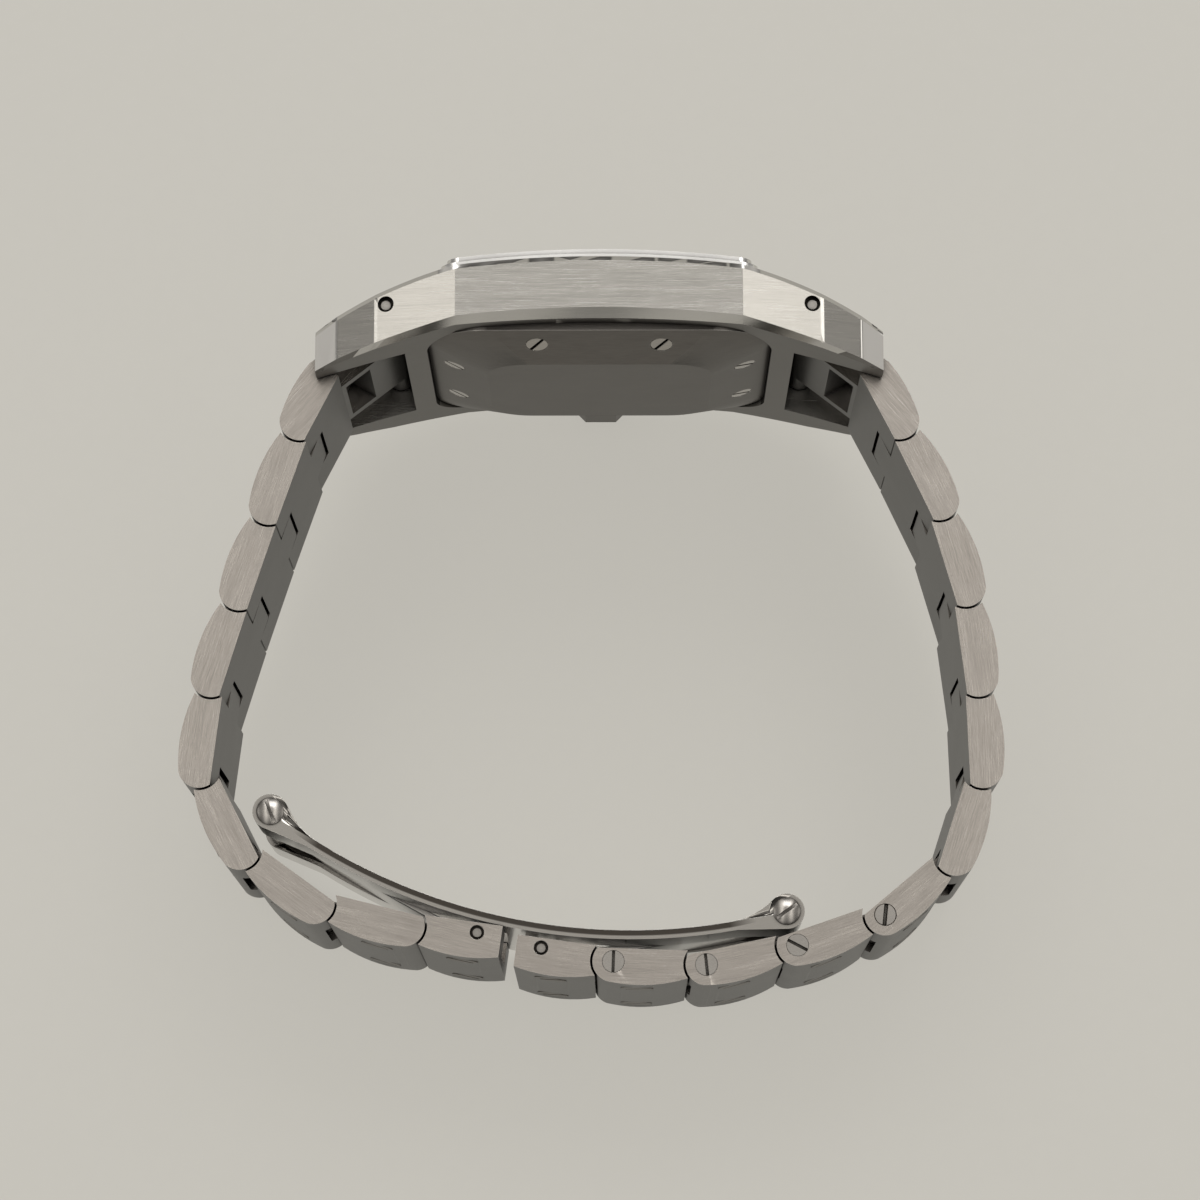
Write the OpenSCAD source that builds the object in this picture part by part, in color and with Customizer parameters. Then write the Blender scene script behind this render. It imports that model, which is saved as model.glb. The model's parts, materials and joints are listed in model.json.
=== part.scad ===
// Square steel wristwatch on a link bracelet, closed, lying on its crown side.
// Watch axes before the lean: X towards 6 o'clock, Y towards the dial, Z towards 9 o'clock.
// The origin is the middle of the case back's flat face. Millimetres.

/* [Case] */
// Length of the case over the lug tips
case_l = 41; // [40:0.2:42]
// Width of the case over its two flanks, without the crown
case_w = 29; // [28:0.5:31]
// Length of the straight flank between the lugs
flank_l = 20.6; // [19:0.2:22]
// Height of the case's top at the middle over the flat of the back
flank_top = 6.55; // [6.4:0.05:6.8]
// Height of the underside at the middle
flank_foot = 2.05; // [1.9:0.05:2.15]
// Radius of the case's long arch
arch_r = 85; // [80:1:95]
// Height of the polished bevel along the lower edge
lower_bevel = 0.65; // [0.5:0.05:0.8]
// Height of the polished bevel along the upper edge
upper_bevel = 0.4; // [0.3:0.05:0.5]
// Distance of the lug bars from the lug tips
lug_bar_in = 5.2; // [4.9:0.05:5.2]
// Height of the lug bars
lug_bar_y = 3.2; // [3.1:0.05:3.4]

/* [Bezel and crystal] */
// Side of the square bezel
bezel_w = 23; // [22:0.2:23.6]
// Height of the bezel over the case's top
bezel_h = 1.35; // [1.25:0.05:1.5]
// Side of the square opening in the bezel
window_w = 17; // [16:0.2:17.4]
// Thickness of the crystal
crystal_t = 1.1; // [1:0.05:1.3]

/* [Case back] */
// Side of the square case back
back_w = 25; // [24.4:0.1:25.4]
// Side of the flat in its middle
back_flat_w = 16.4; // [15:0.2:17.4]
// Height from the flat to the foot of the sloping border
back_rise = 1.5; // [1.3:0.05:1.5]
// Distance of each case back screw from the middle of its side
back_screw_x = 4.5; // [4:0.1:5]
// Distance of the case back screws from the centre lines
back_screw_out = 10.7; // [10.5:0.1:10.9]

/* [Bracelet] */
// Distance between the hinges of a link
link_pitch = 6.6; // [6.4:0.1:6.9]
// Width of the bracelet
link_w = 17.5; // [16.5:0.1:17.6]
// Depth of the flat inner face under the hinge axis
link_in = 0.95; // [0.9:0.05:1.05]
// Height of the crowned outer face over the hinge axis
link_out = 1.62; // [1.55:0.01:1.7]
// Radius of the crowned outer face
face_r = 11; // [10:0.5:13]
// Radius of the rounded end of a link
end_r = 1.48; // [1.45:0.01:1.55]
// Gap between the rounded end and its neighbour
joint_gap = 0.17; // [0.12:0.01:0.2]
// Width of the tongue in the middle of a link
tongue_w = 7; // [6.4:0.1:7.4]
// Radius of the hinge pins
pin_r = 0.42; // [0.38:0.01:0.44]
// Radius of the slotted screws on the outer face
deco_r = 1.15; // [1:0.05:1.25]
// Distance of these screws from the side of the link
deco_in = 2.9; // [2.6:0.1:3.2]

/* [Clasp] */
// Length of the arm at the 12 o'clock side between its pins
arm_12_len = 17.2; // [16.8:0.1:17.4]
// Length of the arm at the 6 o'clock side between its pins
arm_6_len = 17.65; // [17.25:0.1:17.85]
// Direction of the arm at the 12 o'clock side
arm_12_dir = 149.5; // [148:0.5:151]
// Direction of the arm at the 6 o'clock side
arm_6_dir = 8.6; // [7.8:0.2:9.2]
// Width of the blade
blade_w = 16.4; // [15.6:0.1:16.6]
// Thickness of the blade
blade_t = 0.65; // [0.6:0.05:0.75]
// Radius of the blade's outer side
blade_r = 43.4; // [42:0.2:45]
// Radius of the knuckles of the blade
knuckle_r = 1.27; // [1.22:0.01:1.32]
// Width of the arms
arm_w = 6.4; // [6:0.1:6.6]
// Thickness of the arms
arm_t = 0.5; // [0.45:0.05:0.55]

/* [Crown and hands] */
// Width of the octagonal crown across its flats
crown_af = 5.7; // [5.2:0.1:5.9]
// Length of the crown
crown_l = 3.1; // [2.8:0.1:3.4]
// Length of the minute hand
minute_l = 6.6; // [6:0.1:7]
// Length of the hour hand
hour_l = 4.4; // [4:0.1:4.8]

/* [Fits] */
// Radial clearance of a running fit
run_fit = 0.04; // [0.02:0.01:0.06]
// Gap between parts that lie beside each other
side_gap = 0.12; // [0.1:0.01:0.2]

/* [Hidden] */
$fn = 64;
eps = 0.01;

// How the links lie, from the case to the end link, before the two sides are brought together
laid_12 = [-117, -109, -108, -107, -97, -63, -36, -14, -8];
laid_6 = [-63, -65, -74, -83, -88, -108, -140, -161, -168, -182, -188];
links_12 = len(laid_12);
links_6 = len(laid_6);

// Links of the 6 o'clock side whose hinge is a slotted screw at the 9 o'clock edge,
// and where each of their slots points
screwed_6 = [7, 8, 9, 10];
screw_dirs = [84, 152, 96, 88];

// Clearances round fixed parts: plates in their seats, the bezel, screws in threads, heads in
// counterbores, pressed pins and the movement in its ring
seat_fit = 0.05;
bezel_fit = 0.03;
screw_fit = 0.02;
head_fit = 0.03;
pin_fit = 0.01;
movement_fit = 0.15;
slot_depth = 0.3;

// Where the first link's hinge lies from the lug bar, along and across that link
lug_bar_x = case_l / 2 - lug_bar_in;
end_reach = 9.55;
end_drop = 2.32;

// The clasp pins in the two end links: along the link from its last hinge, and above the inner face
clasp_pin_x = 5.2;
clasp_pin_depth = 0.7;
clasp_pin_y = clasp_pin_depth - link_in;
end_link_tail = 1.75;

// Unit vectors along a link and towards its outer side; side is 1 for 6 o'clock, -1 for 12
function along(a) = [cos(a), sin(a)];
function outward(a, side) = side * [-sin(a), cos(a)];
function first_hinge(a, side) =
    [side * lug_bar_x, lug_bar_y] + end_reach * along(a) + end_drop * outward(a, side);
// Hinge k of a chain: 0 is the lug bar, k joins link k and link k + 1
function hinge(dirs, side, k) =
    k == 0 ? [side * lug_bar_x, lug_bar_y]
    : k == 1 ? first_hinge(dirs[0], side)
    : hinge(dirs, side, k - 1) + link_pitch * along(dirs[k - 1]);
function clasp_pin(dirs, side) =
    let (n = len(dirs), a = dirs[n - 1])
    hinge(dirs, side, n - 1) + clasp_pin_x * along(a) + clasp_pin_y * outward(a, side);

// Each side turns as a whole at its lug bar until the end links meet across the clasp's gap
clasp_gap = [1.079, -0.612];
function reach(dirs, side) =
    let (n = len(dirs))
    hinge(dirs, side, n - 1) + (clasp_pin_x + end_link_tail) * along(dirs[n - 1]) - hinge(dirs, side, 0);
span_12 = reach(laid_12, -1);
span_6 = reach(laid_6, 1);
span_gap = [2 * lug_bar_x, 0] - clasp_gap;
function corner(a, b, c) = acos((a * a + b * b - c * c) / (2 * a * b));
gap_dir = atan2(span_gap[1], span_gap[0]);
swing_12 = gap_dir - corner(norm(span_12), norm(span_gap), norm(span_6)) - atan2(span_12[1], span_12[0]);
swing_6 = gap_dir - 180 + corner(norm(span_6), norm(span_gap), norm(span_12)) - atan2(span_6[1], span_6[0]);
dirs_12 = [for (a = laid_12) a + swing_12];
dirs_6 = [for (a = laid_6) a + swing_6];

pin_12 = clasp_pin(dirs_12, -1);
pin_6 = clasp_pin(dirs_6, 1);
blade_12 = pin_12 + arm_12_len * along(arm_12_dir);
blade_6 = pin_6 + arm_6_len * along(arm_6_dir);
blade_span = norm(blade_6 - blade_12);
blade_dir = atan2(blade_6[1] - blade_12[1], blade_6[0] - blade_12[0]);

// Middle of the exposed outer face, measured from the hinge at the case side
face_x = (end_r + joint_gap + link_pitch + end_r) / 2;
end_face_x = (end_r + joint_gap + clasp_pin_x + end_link_tail) / 2;

// The watch rests on the tip of its crown and on the edge of the lowest links
crown_gap = 0.2;
crown_taper = 0.5;
crown_y = (flank_top - upper_bevel + flank_foot + lower_bevel) / 2;
crown_tip = case_w / 2 + crown_gap + crown_l;
flat_links = [for (k = [2:links_6]) if (abs(sin(dirs_6[k - 1])) < 0.25) k];
link_lows = [for (k = flat_links)
    (hinge(dirs_6, 1, k - 1) + face_x * along(dirs_6[k - 1])
     + (link_out - face_r) * outward(dirs_6[k - 1], 1))[1] - face_r];
crown_low = crown_y - crown_af / 2 + crown_taper * cos(22.5);
lean = atan((crown_tip - link_w / 2) / (crown_low - min(link_lows)));

// Heights in the case
back_seat = back_rise + 0.75;
gasket_t = 0.32;
gasket_fit = 0.015;
movement_y = back_seat + 0.1;
bezel_seat = flank_top - 0.95;
bezel_top = flank_top + bezel_h;
dial_t = 0.4;
dial_y = bezel_seat - dial_t - 0.05;
crystal_y = bezel_top - crystal_t - 0.1;
crystal_rise = 0.06;

// Outlines in the plane of the dial
dial_w = 18.6;
dial_corner = 1;
bezel_corner = 1.2;
bezel_bevel = 0.45;
window_corner = 1.2;
crystal_lip = 0.6;
crystal_corner = 1.6;
crystal_bevel = 0.2;
back_corner = 4.5;
back_flat_corner = 3;
movement_r = 9.6;
battery_r = 3.4;
battery_h = 1.6;
battery_x = 4.1;
battery_z = 3.4;

// Lugs, their bars and the winding stem
lug_gap = link_w + 0.5;
lug_wall_x = lug_bar_x - 1.17;
lug_mouth_t = 0.7;
bar_r = 0.38;
bar_hole_r = 0.58;
bar_inset = 0.35;
stem_r = 0.5;
stem_in = 2;
stem_out = 0.8;

// Screws of the back, which stand square to its sloping border, and of the bezel
back_slope_w = (back_w - back_flat_w) / 2;
back_slope = atan(back_rise / back_slope_w);
back_head_r = 0.8;
back_head_t = 0.6;
back_thread_r = 0.4;
back_thread_l = 2.2;
bezel_screw_out = (bezel_w + window_w) / 4 + 0.1;
bezel_screw_x = window_w / 2 - 1.6;
bezel_head_r = 0.72;
bezel_head_t = 0.56;
bezel_thread_r = 0.3;
bezel_thread_l = 3.1;

// Hands, from the dial upwards
hand_t = 0.12;
hand_step = 0.26;
hour_y = dial_y + dial_t + 0.2;
minute_y = hour_y + hand_step;
seconds_y = minute_y + hand_step;
arbor_r = 0.22;
minute_pipe_r = 0.47;
hour_pipe_r = 0.75;
boss_r = 0.85;
pipe_gap = 0.05;
hour_foot = dial_y + dial_t + 2 * pipe_gap;
minute_foot = dial_y - 0.1;
seconds_foot = dial_y - 0.3;

// Joint of two links: a tongue round the pin, and the pocket that it turns in
tongue_r = 0.8;
tongue_top = 0.45;
tongue_back = 0.45;
tongue_end = 1.6;
tongue_round = 0.3;
pocket_r = 1.3;
pocket_top = 0.85;
pin_short = 1.05;
head_r = 0.77;
head_t = 0.7;
deco_t = 0.73;
deco_seat_t = 0.75;
deco_slot_dir = 40;

// First link: its body, the tube on the lug bar and the narrow plate behind
lug_tube_r = 1.05;
lug_plate_w = 10.6;
lug_plate_wall = 1;
hollow_x = -5.5;
hollow_y = -2.9;
hollow_l = 2;
hollow_h = 6;
lug_body_l = 4.2;
hood_y = 1.3;
hood_t = 0.9;

// Clasp
arm_eye_r = 0.82;
arm_knuckle_r = 0.95;
arm_r = 110;
clasp_pin_r = 0.35;
clasp_pin_short = 0.25;
clasp_mouth_r = 0.52;
clasp_mouth_t = 0.6;
arm_slot_x = 0.6;
hinge_inset = 0.55;
hinge_screw_r = 0.45;
hinge_head_r = 0.98;
hinge_head_t = 0.45;
hinge_dome_r = 1.6;
hinge_slot_w = 0.22;
hinge_slot_dirs = [122, 46];
bridge_w = 1.4;
blade_in_r = blade_r - blade_t;
knuckle_ring = blade_r - hinge_inset;
blade_arc_y = sqrt(pow(knuckle_ring, 2) - pow(blade_span / 2, 2));
half_turn = asin(blade_span / 2 / knuckle_ring);
// Fillet between the knuckle and the blade's inner side, seen from the arc's centre
fillet_r = 6;
fillet_turn = acos((pow(knuckle_ring, 2) + pow(blade_in_r - fillet_r, 2) - pow(knuckle_r + fillet_r, 2))
    / (2 * knuckle_ring * (blade_in_r - fillet_r)));
foot_turn = 5;

// Everything is built upright and then leaned so that it rests as it lies
module leaned() {
    rotate([lean, 0, 0]) children();
}

module rounded_square(w, r) {
    square([w - 2 * r, w], center = true);
    square([w, w - 2 * r], center = true);
    for (x = [-1, 1], y = [-1, 1])
        translate([x * (w / 2 - r), y * (w / 2 - r)]) circle(r = r);
}

// A plate in the plane of the dial, from height y upwards
module plate(y, t) {
    translate([0, y, 0]) rotate([-90, 0, 0]) linear_extrude(height = t) children();
}

// A straight cylinder standing in the dial's plane
module post(x, z, y, h, r) {
    translate([x, y, z]) rotate([-90, 0, 0]) cylinder(r = r, h = h);
}

// Two square outlines joined by sloping sides
module sloped_plate(y, w, r, y2, w2, r2) {
    hull() {
        plate(y, eps) rounded_square(w, r, $fn = 32);
        plate(y2 - eps, eps) rounded_square(w2, r2, $fn = 32);
    }
}

// Everything below an arch along X whose crest is at height y
module under_arch(y) {
    intersection() {
        children();
        translate([0, y - arch_r, 0]) cylinder(r = arch_r, h = 2 * case_w, center = true, $fn = 360);
    }
}

// Slotted screw head along Z, top at z = 0; the slot lies along X
module screw_head(r, t, slot_w) {
    difference() {
        translate([0, 0, -t]) cylinder(r = r, h = t);
        translate([-r, -slot_w / 2, -slot_depth]) cube([2 * r, slot_w, t]);
    }
}

// Height of the case's top and underside and its half width at a distance x from the middle
top_slope = 0.115;
top_bow = 0.0105;
foot_slope = 0.135;
bevel_w = 0.7;
lug_run = (case_l - flank_l) / 2;
facet_1 = flank_l / 2 + 0.56 * lug_run;
facet_2 = flank_l / 2 + 0.84 * lug_run;
facet_ins = [1.2, 2.3, 3.5];
function shoulder(x) = max(0, abs(x) - flank_l / 2);
function arch(x) = x * x / (2 * arch_r);
function case_top(x) = flank_top - arch(x) - top_slope * shoulder(x) - top_bow * pow(shoulder(x), 2);
function bevel_h(x) = lower_bevel * (1 - 0.9 * pow(2 * x / case_l, 2));
function flank_low(x) = flank_foot + lower_bevel - arch(x) - foot_slope * shoulder(x);
function case_half(x) = case_w / 2 - lookup(abs(x), [
    [0, 0],
    [flank_l / 2, 0],
    [facet_1, facet_ins[0]],
    [facet_2, facet_ins[1]],
    [case_l / 2, facet_ins[2]]]);
function case_section(x) =
    let (h = case_half(x), t = case_top(x), e = flank_low(x), f = e - bevel_h(x))
    [[x, f, bevel_w - h], [x, f, h - bevel_w], [x, e, h], [x, t - upper_bevel, h],
     [x, t, h - upper_bevel], [x, t, upper_bevel - h], [x, t - upper_bevel, -h], [x, e, -h]];
function steps(a, b, n) = [for (i = [0:n - 1]) a + (b - a) * i / n];
half_stations = concat(
    steps(0, flank_l / 2, 10), steps(flank_l / 2, facet_1, 8),
    steps(facet_1, facet_2, 5), steps(facet_2, case_l / 2, 4), [case_l / 2]);
stations = concat(
    [for (i = [len(half_stations) - 1:-1:1]) -half_stations[i]], half_stations);

// Skin through a row of closed sections that all have the same number of points
module loft(sections) {
    n = len(sections[0]);
    last = len(sections) - 1;
    polyhedron(
        points = [for (s = sections) each s],
        faces = concat(
            [[for (j = [n - 1:-1:0]) j]],
            [[for (j = [0:n - 1]) last * n + j]],
            [for (i = [0:last - 1], j = [0:n - 1])
                [i * n + j, i * n + (j + 1) % n, (i + 1) * n + (j + 1) % n]],
            [for (i = [0:last - 1], j = [0:n - 1])
                [i * n + j, (i + 1) * n + (j + 1) % n, (i + 1) * n + j]]));
}

// Two screws on each side of the back; the sloping border is at z = 0
module at_back_screws() {
    for (a = [0, 90, 180, 270], s = [-1, 1])
        rotate([0, a, 0])
            translate([s * back_screw_x, back_rise * (back_screw_out - back_flat_w / 2) / back_slope_w,
                       back_screw_out])
                rotate([90 - back_slope, 0, 0]) children();
}

// Two screws on each side of the bezel, at its arched top
module at_bezel_screws() {
    for (a = [0, 90, 180, 270], s = [-1, 1])
        let (x = s * bezel_screw_x * cos(a) + bezel_screw_out * sin(a))
            translate([0, bezel_top - arch(x), 0]) rotate([0, a, 0])
                translate([s * bezel_screw_x, 0, bezel_screw_out]) rotate([-90, 0, 0]) children();
}

// Ring of the gasket, grown by a clearance
module gasket_outline(grow) {
    difference() {
        rounded_square(back_w - 1.63 + 2 * grow, back_corner - 0.615 + grow);
        rounded_square(back_w - 2.77 - 2 * grow, back_corner - 1.185 - grow);
    }
}

module mid_case() {
    color("silver") leaned() difference() {
        loft([for (x = stations) case_section(x)]);
        // Seats of the back, the gasket, the movement, the dial and the bezel
        plate(-case_w, back_seat + case_w) rounded_square(back_w + 2 * seat_fit, back_corner + seat_fit);
        plate(back_seat - eps, gasket_t + 2 * gasket_fit) gasket_outline(gasket_fit);
        post(0, 0, back_rise, dial_y - back_rise, movement_r + movement_fit);
        plate(dial_y, case_w) rounded_square(dial_w + 2 * seat_fit, dial_corner + seat_fit);
        plate(bezel_seat, case_w) rounded_square(bezel_w + 2 * bezel_fit, bezel_corner + bezel_fit);
        at_back_screws()
            cylinder(r = back_thread_r + screw_fit, h = 2 * (back_thread_l + 0.8), center = true);
        at_bezel_screws() translate([0, 0, -bezel_thread_l - 0.2])
            cylinder(r = bezel_thread_r + screw_fit, h = bezel_thread_l + 0.2);
        // Room for the first links between the lugs
        for (s = [-1, 1])
            translate([s * (lug_wall_x + case_l / 2), 0, 0]) cube([case_l, case_l, lug_gap], center = true);
        // Holes of the lug bars, wider at their mouths
        for (s = [-1, 1]) {
            translate([s * lug_bar_x, lug_bar_y, 0])
                cylinder(r = bar_r + screw_fit, h = 2 * case_w, center = true);
            for (z = [-1, 1])
                translate([s * lug_bar_x, lug_bar_y, z * case_w / 2])
                    cylinder(r = bar_hole_r, h = 2 * (lug_mouth_t + facet_ins[0]), center = true);
        }
        translate([0, crown_y, -case_w])
            cylinder(r = stem_r + run_fit, h = case_w - movement_r + stem_in);
    }
}

module bezel() {
    color("gainsboro") leaned() difference() {
        union() {
            under_arch(bezel_top - bezel_bevel)
                plate(bezel_seat, 2 * bezel_h) rounded_square(bezel_w, bezel_corner);
            under_arch(bezel_top)
                plate(bezel_seat, 2 * bezel_h)
                    rounded_square(bezel_w - 2 * bezel_bevel, bezel_corner - bezel_bevel + 0.15);
        }
        plate(0, case_w) rounded_square(window_w, window_corner);
        plate(crystal_y, case_w) rounded_square(window_w + 2 * crystal_lip, crystal_corner);
        at_bezel_screws() {
            cylinder(r = bezel_thread_r + 2 * screw_fit, h = 3 * bezel_thread_l, center = true);
            translate([0, 0, -bezel_head_t - 0.04]) cylinder(r = bezel_head_r + head_fit, h = 2 * bezel_h);
        }
    }
}

module bezel_screws() {
    color("silver") leaned() at_bezel_screws() {
        translate([0, 0, -0.03]) rotate([0, 0, 35]) screw_head(bezel_head_r, bezel_head_t, 0.18);
        translate([0, 0, -bezel_thread_l])
            cylinder(r = bezel_thread_r, h = bezel_thread_l - bezel_head_t + slot_depth / 2);
    }
}

module crystal() {
    width = window_w + 2 * (crystal_lip - bezel_fit);
    color("aliceblue", 0.4) leaned() {
        under_arch(bezel_top + crystal_rise - crystal_bevel)
            plate(crystal_y + head_fit, 2 * crystal_t) rounded_square(width, crystal_corner - bezel_fit);
        under_arch(bezel_top + crystal_rise)
            plate(crystal_y + head_fit, 2 * crystal_t)
                rounded_square(width - 2 * crystal_bevel, crystal_corner - bezel_fit - crystal_bevel);
    }
}

// Dial with its centre hole and raised hour batons
module dial() {
    color("whitesmoke") leaned() {
        difference() {
            plate(dial_y, dial_t) rounded_square(dial_w, dial_corner);
            post(0, 0, dial_y - dial_t, 3 * dial_t, boss_r + 2 * pipe_gap);
        }
        for (h = [0:11]) rotate([0, h * 30, 0])
            translate([-0.2, dial_y + dial_t - eps, 6.1]) cube([0.4, 0.08, 1.7]);
    }
}

module movement() {
    color("darkkhaki") leaned() difference() {
        union() {
            post(0, 0, movement_y, dial_y - movement_y, movement_r);
            post(0, 0, dial_y - eps, dial_t + pipe_gap, boss_r);
        }
        post(battery_x, battery_z, movement_y - battery_h, 2 * battery_h, battery_r + seat_fit);
        translate([0, crown_y, -movement_r - stem_in]) cylinder(r = stem_r + run_fit, h = 2 * stem_in + 1);
        post(0, 0, minute_foot - pipe_gap, battery_h, minute_pipe_r + pipe_gap);
        post(0, 0, seconds_foot - pipe_gap, battery_h, arbor_r + pipe_gap);
    }
}

module battery() {
    cap_t = 0.3;
    color("silver") leaned() {
        post(battery_x, battery_z, movement_y, battery_h - cap_t, battery_r);
        post(battery_x, battery_z, movement_y + battery_h - cap_t - eps, cap_t + eps, battery_r - 0.4);
    }
}

module case_back() {
    color("gray") leaned() difference() {
        union() {
            sloped_plate(0, back_flat_w, back_flat_corner, back_rise, back_w - 2 * eps, back_corner);
            plate(back_rise - eps, back_seat - back_rise) rounded_square(back_w, back_corner);
        }
        at_back_screws() {
            cylinder(r = back_thread_r + seat_fit, h = 3 * back_thread_l, center = true);
            translate([0, 0, -back_head_t]) cylinder(r = back_head_r + head_fit, h = 2 * back_rise);
        }
    }
}

module case_back_gasket() {
    color("dimgray") leaned() plate(back_seat, gasket_t) gasket_outline(0);
}

module case_back_screws() {
    color("silver") leaned() at_back_screws() {
        rotate([0, 0, 55]) screw_head(back_head_r, back_head_t, 0.2);
        translate([0, 0, -back_thread_l])
            cylinder(r = back_thread_r, h = back_thread_l - back_head_t + eps);
    }
}

module lug_bars() {
    bar_l = 2 * (case_half(lug_bar_x) - bar_inset);
    color("silver") leaned() for (s = [-1, 1])
        translate([s * lug_bar_x, lug_bar_y, 0]) cylinder(r = bar_r, h = bar_l, center = true);
}

module stem() {
    stem_tip = crown_tip - stem_out - seat_fit;
    color("silver") leaned() translate([0, crown_y, -stem_tip])
        cylinder(r = stem_r, h = stem_tip - movement_r + stem_in + 0.4);
}

// Octagonal crown with a tapered tip and a round foot
module crown() {
    corner_r = crown_af / 2 / cos(22.5);
    foot_t = 0.3;
    color("silver") leaned() translate([0, crown_y, -crown_tip]) difference() {
        union() {
            rotate([0, 0, 22.5]) {
                cylinder(r1 = corner_r - crown_taper, r2 = corner_r, h = crown_taper + eps, $fn = 8);
                translate([0, 0, crown_taper])
                    cylinder(r = corner_r, h = crown_l - crown_taper - foot_t, $fn = 8);
            }
            translate([0, 0, crown_l - foot_t - eps]) cylinder(r = crown_af / 2 - 0.5, h = foot_t + eps);
        }
        translate([0, 0, stem_out]) cylinder(r = stem_r + run_fit, h = crown_l);
    }
}

// Pointed hand in the dial's plane; its pipe starts at the height foot
module hand(length, width, y, pipe_r, bore_r, foot) {
    difference() {
        union() {
            plate(y, hand_t) polygon([
                [-0.5 * width, 0], [-0.3 * width, -0.2 * length], [0.3 * width, -0.2 * length],
                [0.5 * width, 0], [0.42 * width, 0.8 * length], [0, length], [-0.42 * width, 0.8 * length]]);
            post(0, 0, foot, y + hand_t - foot, pipe_r);
        }
        if (bore_r > 0) post(0, 0, foot - bezel_h, 4 * bezel_h, bore_r);
    }
}

module hour_hand() {
    color("navy") leaned() rotate([0, -62, 0])
        hand(hour_l, 0.9, hour_y, hour_pipe_r, minute_pipe_r + pipe_gap, hour_foot);
}
module minute_hand() {
    color("navy") leaned() rotate([0, 58, 0])
        hand(minute_l, 0.7, minute_y, minute_pipe_r, arbor_r + pipe_gap, minute_foot);
}
module seconds_hand() {
    color("navy") leaned() rotate([0, 170, 0])
        hand(minute_l + 0.5, 0.24, seconds_y, arbor_r, 0, seconds_foot);
}

// Puts children, drawn along X with Y outwards, at hinge k of one of the chains
module at_hinge(dirs, side, k, link_k) {
    h = hinge(dirs, side, k);
    translate([h[0], h[1], 0]) rotate([0, 0, dirs[link_k - 1]])
        mirror([0, side > 0 ? 0 : 1, 0]) children();
}

// The flat inner face and the crowned outer face, whose middle is at x
module between_faces(x) {
    intersection() {
        children();
        translate([x, link_out - face_r]) circle(r = face_r, $fn = 180);
        translate([x - case_l, -link_in]) square([2 * case_l, 2 * link_pitch]);
    }
}

// Tongue that reaches from the link into its neighbour, round the hinge at x = 0
module tongue() {
    difference() {
        linear_extrude(height = tongue_w, center = true) {
            circle(r = tongue_r);
            translate([-tongue_back, -link_in]) square([tongue_back + tongue_end, link_in + tongue_top]);
            translate([-tongue_back - tongue_round, tongue_round - link_in])
                square([tongue_back + tongue_round, link_in - tongue_round]);
            translate([-tongue_back, tongue_round - link_in]) circle(r = tongue_round);
        }
        cylinder(r = pin_r + run_fit, h = 2 * link_w, center = true);
    }
}

// Room for a neighbour's tongue at the hinge at x
module pocket(x) {
    linear_extrude(height = tongue_w + 2 * side_gap, center = true) translate([x, 0]) intersection() {
        union() {
            circle(r = pocket_r);
            translate([0, -link_pitch / 2]) square(link_pitch);
        }
        translate([-link_pitch / 2, -link_pitch]) square([1.5 * link_pitch, link_pitch + pocket_top]);
    }
}

// The two slotted screws of an outer face whose middle is at x
module at_deco_screws(x) {
    for (s = [-1, 1])
        translate([x, link_out, s * (link_w / 2 - deco_in)]) rotate([-90, 0, 0]) children();
}
module deco_seats(x) {
    at_deco_screws(x) translate([0, 0, -deco_seat_t]) cylinder(r = deco_r + head_fit, h = 2 * link_out);
}
module deco_screws(x) {
    at_deco_screws(x) rotate([0, 0, deco_slot_dir]) screw_head(deco_r, deco_t, 0.24);
}

// Bore of a hinge: for a screw from the 9 o'clock side, or for a pin from behind
module hinge_bore(x, screwed) {
    if (screwed) {
        translate([x, 0, head_t - link_w / 2]) cylinder(r = pin_r + pin_fit, h = link_w);
        translate([x, 0, link_w / 2 - head_t]) cylinder(r = head_r + head_fit, h = 2 * head_t);
    } else {
        translate([x, 0, -link_w]) cylinder(r = pin_r + pin_fit, h = 1.5 * link_w - pin_short + seat_fit);
    }
}
module hinge_pin(x) {
    translate([x, 0, -link_w / 2]) cylinder(r = pin_r, h = link_w - pin_short);
}
module hinge_screw(x, slot_dir) {
    translate([x, 0, seat_fit + head_t - link_w / 2]) cylinder(r = pin_r, h = link_w - 2 * head_t);
    translate([x, 0, link_w / 2]) rotate([0, 0, slot_dir]) screw_head(head_r, head_t, 0.22);
}

// One link between two hinges
module link(screwed) {
    difference() {
        linear_extrude(height = link_w, center = true) between_faces(face_x) {
            translate([0, -link_in]) square([link_pitch, link_in + link_out]);
            translate([link_pitch, 0]) circle(r = end_r);
        }
        cylinder(r = end_r + joint_gap, h = 2 * link_w, center = true);
        pocket(link_pitch);
        hinge_bore(link_pitch, screwed);
        deco_seats(face_x);
    }
    tongue();
}

// First link, drawn from its outer hinge: a hood runs up between the lugs to a tube on the bar
module lug_link() {
    bar = [-end_reach, -end_drop];
    difference() {
        union() {
            linear_extrude(height = link_w, center = true) {
                between_faces(face_x - link_pitch) {
                    translate([-lug_body_l, -link_in]) square([lug_body_l, link_in + link_out]);
                    circle(r = end_r);
                }
                translate(bar) circle(r = lug_tube_r);
                polygon([
                    [eps - lug_body_l, hood_y - hood_t], [eps - lug_body_l, hood_y],
                    bar + lug_tube_r * along(112), bar + lug_tube_r * 0.27 * along(45)]);
            }
            linear_extrude(height = lug_plate_w, center = true) polygon([
                [eps - lug_body_l, -link_in], [eps - lug_body_l, link_in], bar,
                bar + lug_tube_r * along(-57.5)]);
        }
        // Hollow in the plate behind the hood
        translate([hollow_x, hollow_y, 0])
            cube([hollow_l, hollow_h, lug_plate_w - 2 * lug_plate_wall], center = true);
        translate(bar) cylinder(r = bar_r + run_fit, h = 2 * link_w, center = true);
        pocket(0);
        hinge_bore(0, false);
        deco_seats(face_x - link_pitch);
    }
}

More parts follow.
